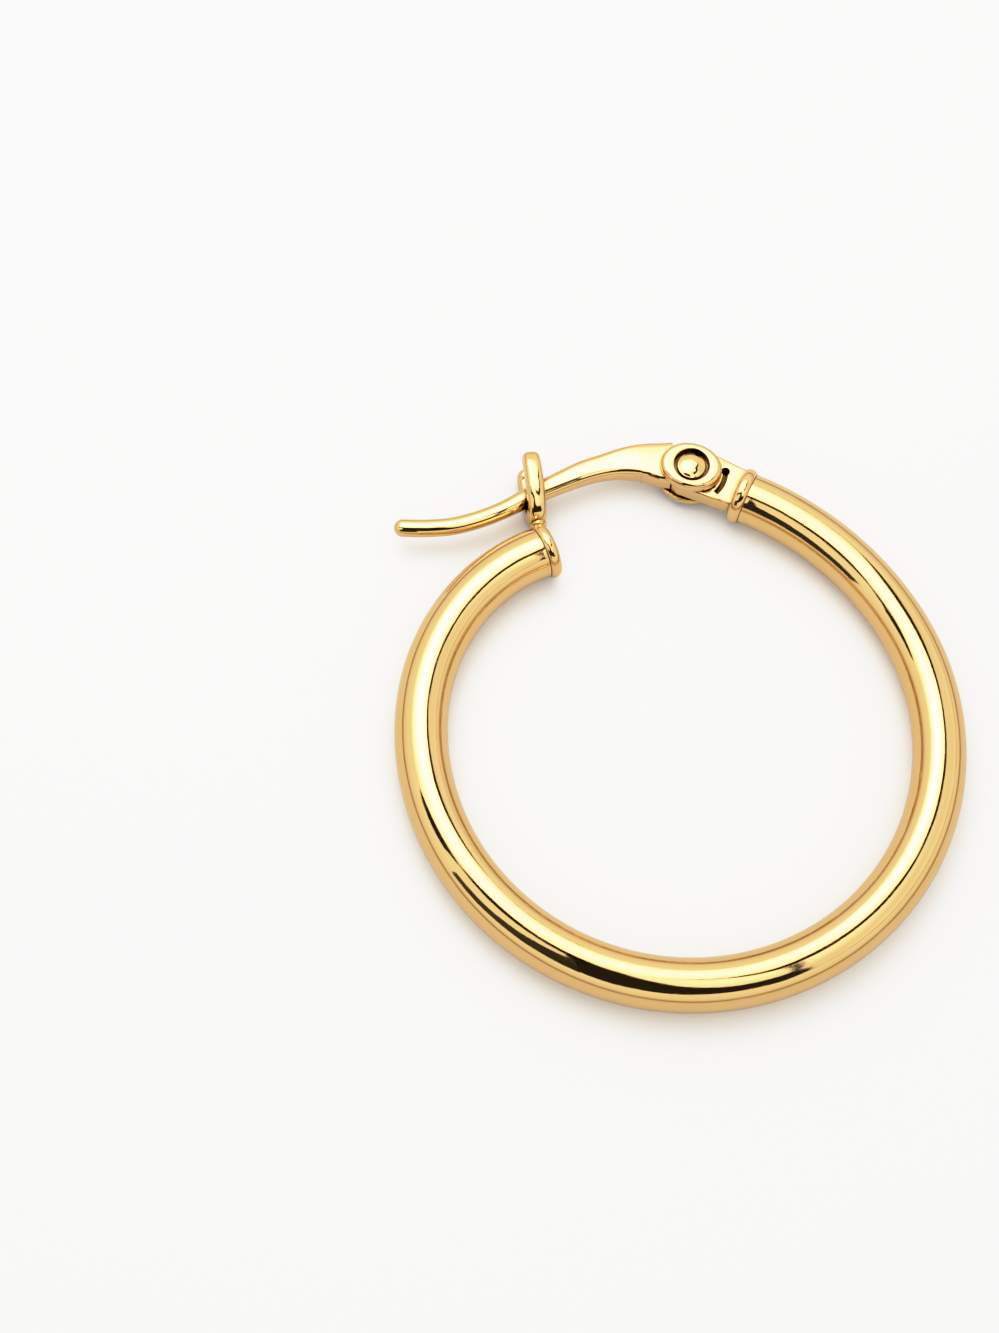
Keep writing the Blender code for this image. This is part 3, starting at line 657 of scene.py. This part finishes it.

# HINGE PIN
# A gold rivet holds both ears to the tongue and lets the lever turn. Its low domed heads sit in the ears'
# round seats, with a narrow gap round each that painted shade darkens.
PIN_RADIUS, HEAD_RADIUS, HEAD_EDGE, HEAD_DOME, HEAD_GAP = 0.4, 0.77, 0.13, 0.18, 0.03
HEAD_CORNER, DOME_REACH, DOME_CURVE = 0.05, 0.93, 2.5
PIN_GOLD = gold("pin_gold", roughness=0.05, lines=0.1, ripple=0.3, reach=0.0007)
head_base = EAR_OUTER - SEAT_DEPTH + HEAD_GAP


def dome_height(share):
    """The head's height at a share of its radius: nearly flat in the middle, falling towards the edge."""
    return head_base + HEAD_EDGE + HEAD_DOME * (1.0 - share**DOME_CURVE)


corner_radius = HEAD_RADIUS - HEAD_CORNER
corner_height = dome_height(DOME_REACH) - HEAD_CORNER
half_profile = [(HEAD_RADIUS * share, dome_height(share)) for share in np.linspace(0.001, DOME_REACH, 24)]
half_profile += [(corner_radius + HEAD_CORNER * math.sin(a), corner_height + HEAD_CORNER * math.cos(a))
                 for a in np.radians(np.linspace(25.0, 90.0, 7))]
half_profile += [(HEAD_RADIUS, head_base), (PIN_RADIUS, head_base)]
pin_profile = half_profile + [(radius, -height) for radius, height in reversed(half_profile)]
pin_axes = (pin_place, UP, to_catch)
piece("hinge_pin_polished", [loft(turned(pin_profile, pin_axes))], PIN_GOLD, "hoop", "hinge_pin")

# FLOOR AND LIGHT
# A pale matt table under a ceiling of white cloth lit from behind, brightest behind and to the left.
# Dark bars edge the ceiling and a black screen hangs on the camera's side: the gold mirrors them.
FLOOR_METRES = 2.0
PAPER_IN_GOLD = (0.6, 0.592, 0.58, 1.0)
PAPER_IN_SIGHT = (0.9, 0.89, 0.875, 1.0)
floor_mesh = bpy.data.meshes.new("floor")
floor_corners = [(x * FLOOR_METRES, y * FLOOR_METRES, 0.0) for x, y in ((-1, -1), (1, -1), (1, 1), (-1, 1))]
floor_mesh.from_pydata(floor_corners, [], [(0, 1, 2, 3)])
floor = bpy.data.objects.new("floor", floor_mesh)
bpy.context.scene.collection.objects.link(floor)
paper = bpy.data.materials.new("pale_paper")
paper.use_nodes = True
paper_shader = paper.node_tree.nodes["Principled BSDF"]
paper_shader.inputs["Roughness"].default_value = 0.6
# the paper is whiter where it is looked at than where the gold mirrors it
light_path = paper.node_tree.nodes.new("ShaderNodeLightPath")
whiter = paper.node_tree.nodes.new("ShaderNodeMix")
whiter.data_type = "RGBA"
whiter.inputs["A"].default_value = PAPER_IN_GOLD
whiter.inputs["B"].default_value = PAPER_IN_SIGHT
paper.node_tree.links.new(light_path.outputs["Is Camera Ray"], whiter.inputs["Factor"])
paper.node_tree.links.new(whiter.outputs["Result"], paper_shader.inputs["Base Color"])
floor_mesh.materials.append(paper)

# the sheets are placed from under the earring's middle: to the camera's right, ahead of it, and up
AHEAD = np.array([0.4617, 0.8870, 0.0])
RIGHT = np.array([0.8870, -0.4617, 0.0])
CEILING = 120.0
UNDER_CEILING = CEILING - 1.0
FALLOFF = 1.8


def shining(name, inner, outer):
    """Cloth lit from behind: inner bright in the middle of its map, fading to outer at one unit away."""
    material = bpy.data.materials.new(name)
    material.use_nodes = True
    nodes, links = material.node_tree.nodes, material.node_tree.links
    nodes.clear()
    layout = nodes.new("ShaderNodeUVMap")
    away = nodes.new("ShaderNodeVectorMath")
    away.operation = "LENGTH"
    links.new(layout.outputs["UV"], away.inputs[0])
    fade = nodes.new("ShaderNodeMapRange")
    fade.inputs["To Min"].default_value = 1.0
    fade.inputs["To Max"].default_value = 0.0
    links.new(away.outputs["Value"], fade.inputs["Value"])
    soft = nodes.new("ShaderNodeMath")
    soft.operation = "POWER"
    soft.inputs[1].default_value = FALLOFF
    links.new(fade.outputs["Result"], soft.inputs[0])
    glow = nodes.new("ShaderNodeMath")
    glow.operation = "MULTIPLY_ADD"
    glow.inputs[1].default_value = inner - outer
    glow.inputs[2].default_value = outer
    links.new(soft.outputs["Value"], glow.inputs[0])
    emission = nodes.new("ShaderNodeEmission")
    emission.inputs["Color"].default_value = (1.0, 0.99, 0.97, 1.0)
    links.new(glow.outputs["Value"], emission.inputs["Strength"])
    output = nodes.new("ShaderNodeOutputMaterial")
    links.new(emission.outputs[0], output.inputs["Surface"])
    return material


def screen(name, rows, material, middle=(0.0, 0.0), reach=1.0, shades=True):
    """A sheet with one row of places as its outline, or two rows as its edges.

    Its map starts at middle and is reach wide, and one that doesn't shade is seen only by the gold.
    """
    places = [np.array(place, dtype=float) for row in rows for place in row]
    mesh = bpy.data.meshes.new(name)
    if len(rows) == 1:
        faces = [tuple(range(len(places)))]
    else:
        count = len(rows[0])
        faces = [(index, index + 1, count + index + 1, count + index) for index in range(count - 1)]
    points = [(place[0] * RIGHT + place[1] * AHEAD + place[2] * UP) * 0.001 for place in places]
    mesh.from_pydata([tuple(point) for point in points], [], faces)
    layer = mesh.uv_layers.new(name="UVMap")
    for loop in mesh.loops:
        place = places[loop.vertex_index]
        layer.data[loop.index].uv = ((place[0] - middle[0]) / reach, (place[1] - middle[1]) / reach)
    mesh.materials.append(material)
    item = bpy.data.objects.new(name, mesh)
    item.visible_camera = False
    item.visible_diffuse = shades
    item.visible_shadow = shades
    bpy.context.scene.collection.objects.link(item)


def bar(name, path, material):
    """A flat strip just under the ceiling through places (right, ahead, width) in mm."""
    middle = np.array([point[:2] for point in path], dtype=float)
    side = np.gradient(middle, axis=0)
    side = np.stack([-side[:, 1], side[:, 0]], axis=1) / np.linalg.norm(side, axis=1)[:, None]
    half = np.array([point[2] for point in path])[:, None] / 2.0
    edges = (middle - half * side, middle + half * side)
    rows = [[(*place, UNDER_CEILING) for place in edge] for edge in edges]
    screen(name, rows, material, shades=False)


def on_dome(turn, height, distance):
    """A place as right, ahead and up, turned to the right of straight ahead and raised by degrees."""
    turned_by, raised_by = math.radians(turn), math.radians(height)
    level = distance * math.cos(raised_by)
    return level * math.sin(turned_by), level * math.cos(turned_by), distance * math.sin(raised_by)


black = bpy.data.materials.new("black_cloth")
black.use_nodes = True
black_shader = black.node_tree.nodes["Principled BSDF"]
black_shader.inputs["Base Color"].default_value = (0.003, 0.002, 0.0015, 1.0)
black_shader.inputs["Roughness"].default_value = 0.9

# the two bright cloths meet along this edge, and a dark bar hides where they do
CLOTH_EDGE = [(10, 12), (33, 5), (41, 28), (41, 42), (33, 53), (24, 62), (30, 80), (33, 100), (34, 121)]
left_cloth = [(-165, 121), (-165, -18), (6, -18)] + CLOTH_EDGE
right_cloth = [(6, -100), (6, -18)] + CLOTH_EDGE + [(150, 121), (150, -100)]
screen("ceiling_light", [[(x, y, CEILING) for x, y in left_cloth]],
       shining("ceiling_light", 5.6, 1.0), (-45.0, 50.0), 118.0)
screen("side_light", [[(x, y, CEILING) for x, y in right_cloth]],
       shining("side_light", 2.1, 1.0), (35.0, -10.0), 85.0)
seam_path = [
    (2, 122, 4), (31, 122, 5), (34, 115, 7), (33, 100, 10), (30, 80, 16), (24, 62, 20), (33, 53, 19),
    (41, 42, 19), (41, 28, 20), (36, 14, 23), (33, 5, 24), (24, 7, 10), (17, 11, 4), (8, 12, 1.5),
]
near_path = [
    (4, -22, 6), (-12, -27, 20), (-30, -25, 24), (-44, -29, 18), (-53, -31, 10), (-60, -31, 4),
    (-66, -30, 10), (-75, -31, 19), (-90, -32, 26), (-110, -38, 38), (-125, -36, 30), (-140, -36, 1),
]
bar("seam", seam_path, black)
bar("near_edge", near_path, black)
bar("corner_line", [(86, -48, 5), (60, -22, 5), (41, -4, 5)], black)
black_outline = [
    (85, -46), (71, -52), (58, -59), (42, -57), (27, -50), (13, -32), (3, -20), (-8, -16), (-11, -22),
    (-14, -50), (-21, -80), (-34, -140), (-44, -182), (-28, -181), (0, -181), (27, -174), (52, -165),
    (76, -154), (98, -141), (119, -126), (148, -118), (157, -91), (125, -68),
]
screen("black_screen", [[(x, y, UNDER_CEILING) for x, y in black_outline]], black, shades=False)
screen("low_screen", [[(-3, -34, 15), (-14, -33, 15), (-25, -33, 15), (-33, -31, 15)],
                      [(-5, -29, 45), (-20, -39, 45), (-35, -45, 45), (-52, -44, 45)]], black, shades=False)

# the grey wall rail is no lamp: it glows with its own even grey light, a painted glow that only the gold
# mirrors
grey = bpy.data.materials.new("grey_wall_glow")
grey.use_nodes = True
grey_shader = grey.node_tree.nodes["Principled BSDF"]
grey_shader.inputs["Base Color"].default_value = (0.0, 0.0, 0.0, 1.0)
grey_shader.inputs["Emission Color"].default_value = (0.7, 0.67, 0.62, 1.0)
grey_shader.inputs["Emission Strength"].default_value = 1.0
RAIL = [(8, 12), (26, 18), (41, 21), (58, 24), (79, 25), (100, 29), (122, 34)]
RAIL_HALF, RAIL_DISTANCE = 1.7, 320.0
screen("wall_rail", [[on_dome(turn, height - RAIL_HALF, RAIL_DISTANCE) for turn, height in RAIL],
                     [on_dome(turn, height + RAIL_HALF, RAIL_DISTANCE) for turn, height in RAIL]],
       grey, shades=False)

# the room is pale above and brown at the horizon
world = bpy.data.worlds.new("studio")
world.use_nodes = True
bpy.context.scene.world = world
nodes, links = world.node_tree.nodes, world.node_tree.links
background = nodes["Background"]
spot = nodes.new("ShaderNodeTexCoord")
split = nodes.new("ShaderNodeSeparateXYZ")
links.new(spot.outputs["Generated"], split.inputs[0])
ramp = nodes.new("ShaderNodeValToRGB")
ramp.color_ramp.elements[0].position = 0.0
ramp.color_ramp.elements[0].color = (0.3, 0.22, 0.13, 1.0)
dusk = ramp.color_ramp.elements.new(0.09)
dusk.color = (0.54, 0.44, 0.32, 1.0)
haze = ramp.color_ramp.elements.new(0.2)
haze.color = (0.92, 0.91, 0.89, 1.0)
ramp.color_ramp.elements[-1].position = 0.6
ramp.color_ramp.elements[-1].color = (1.1, 1.09, 1.06, 1.0)
links.new(split.outputs["Z"], ramp.inputs["Fac"])
links.new(ramp.outputs["Color"], background.inputs["Color"])
background.inputs["Strength"].default_value = 1.0

# CAMERA
# The camera looks 68 degrees down from 120 mm away, leaning as the photographed earring leans. The tone
# curve keeps mid tones as they are and bends the brightest ones gently into white.
VIEW_DOWN, VIEW_ROLL, VIEW_DISTANCE = math.radians(68.0), -0.305943, 120.0
FOCAL_PIXELS, PICTURE = 2283.66, (999.0, 1333.0)
HOOP_PIXEL = (681.03, 731.72)
SENSOR = 36.0
WHITE_LEVEL = 4.0
sight = math.cos(VIEW_DOWN) * AHEAD - math.sin(VIEW_DOWN) * UP
level_up = np.cross(RIGHT, sight)
right = math.cos(VIEW_ROLL) * RIGHT - math.sin(VIEW_ROLL) * level_up
upward = math.sin(VIEW_ROLL) * RIGHT + math.cos(VIEW_ROLL) * level_up
# the camera is turned so that the hoop's middle falls on its pixel and not on the picture's middle
aim = unit(np.array([(HOOP_PIXEL[0] - PICTURE[0] / 2.0) / FOCAL_PIXELS,
                     -(HOOP_PIXEL[1] - PICTURE[1] / 2.0) / FOCAL_PIXELS, 1.0]))
about = np.cross([0.0, 0.0, 1.0], aim)
swing = np.array([[0.0, -about[2], about[1]], [about[2], 0.0, -about[0]], [-about[1], about[0], 0.0]])
axes = (np.eye(3) + swing + swing @ swing / (1.0 + aim[2])) @ np.array([right, upward, sight])
camera_data = bpy.data.cameras.new("camera")
camera_data.sensor_fit = "VERTICAL"
camera_data.sensor_height = SENSOR
camera_data.sensor_width = SENSOR
camera_data.lens = FOCAL_PIXELS / PICTURE[1] * SENSOR
camera_data.clip_start = 0.001
camera = bpy.data.objects.new("camera", camera_data)
bpy.context.scene.collection.objects.link(camera)
matrix = Matrix((axes[0], axes[1], -axes[2])).transposed().to_4x4()
matrix.translation = Vector((HOOP_CENTRE - sight * VIEW_DISTANCE) * 0.001)
camera.matrix_world = matrix
bpy.context.scene.camera = camera
view = bpy.context.scene.view_settings
view.view_transform = "Standard"
view.use_curve_mapping = True
curves = view.curve_mapping
curves.white_level = (WHITE_LEVEL, WHITE_LEVEL, WHITE_LEVEL)
shoulder = curves.curves[3]
shoulder.points[0].location = (0.0, 0.0)
shoulder.points[1].location = (1.0, 1.0)
for bright, shown in ((0.4, 0.4), (0.8, 0.795), (1.0, 0.9), (1.3, 0.955), (1.7, 0.975), (2.5, 0.99)):
    shoulder.points.new(bright / WHITE_LEVEL, shown)
curves.update()
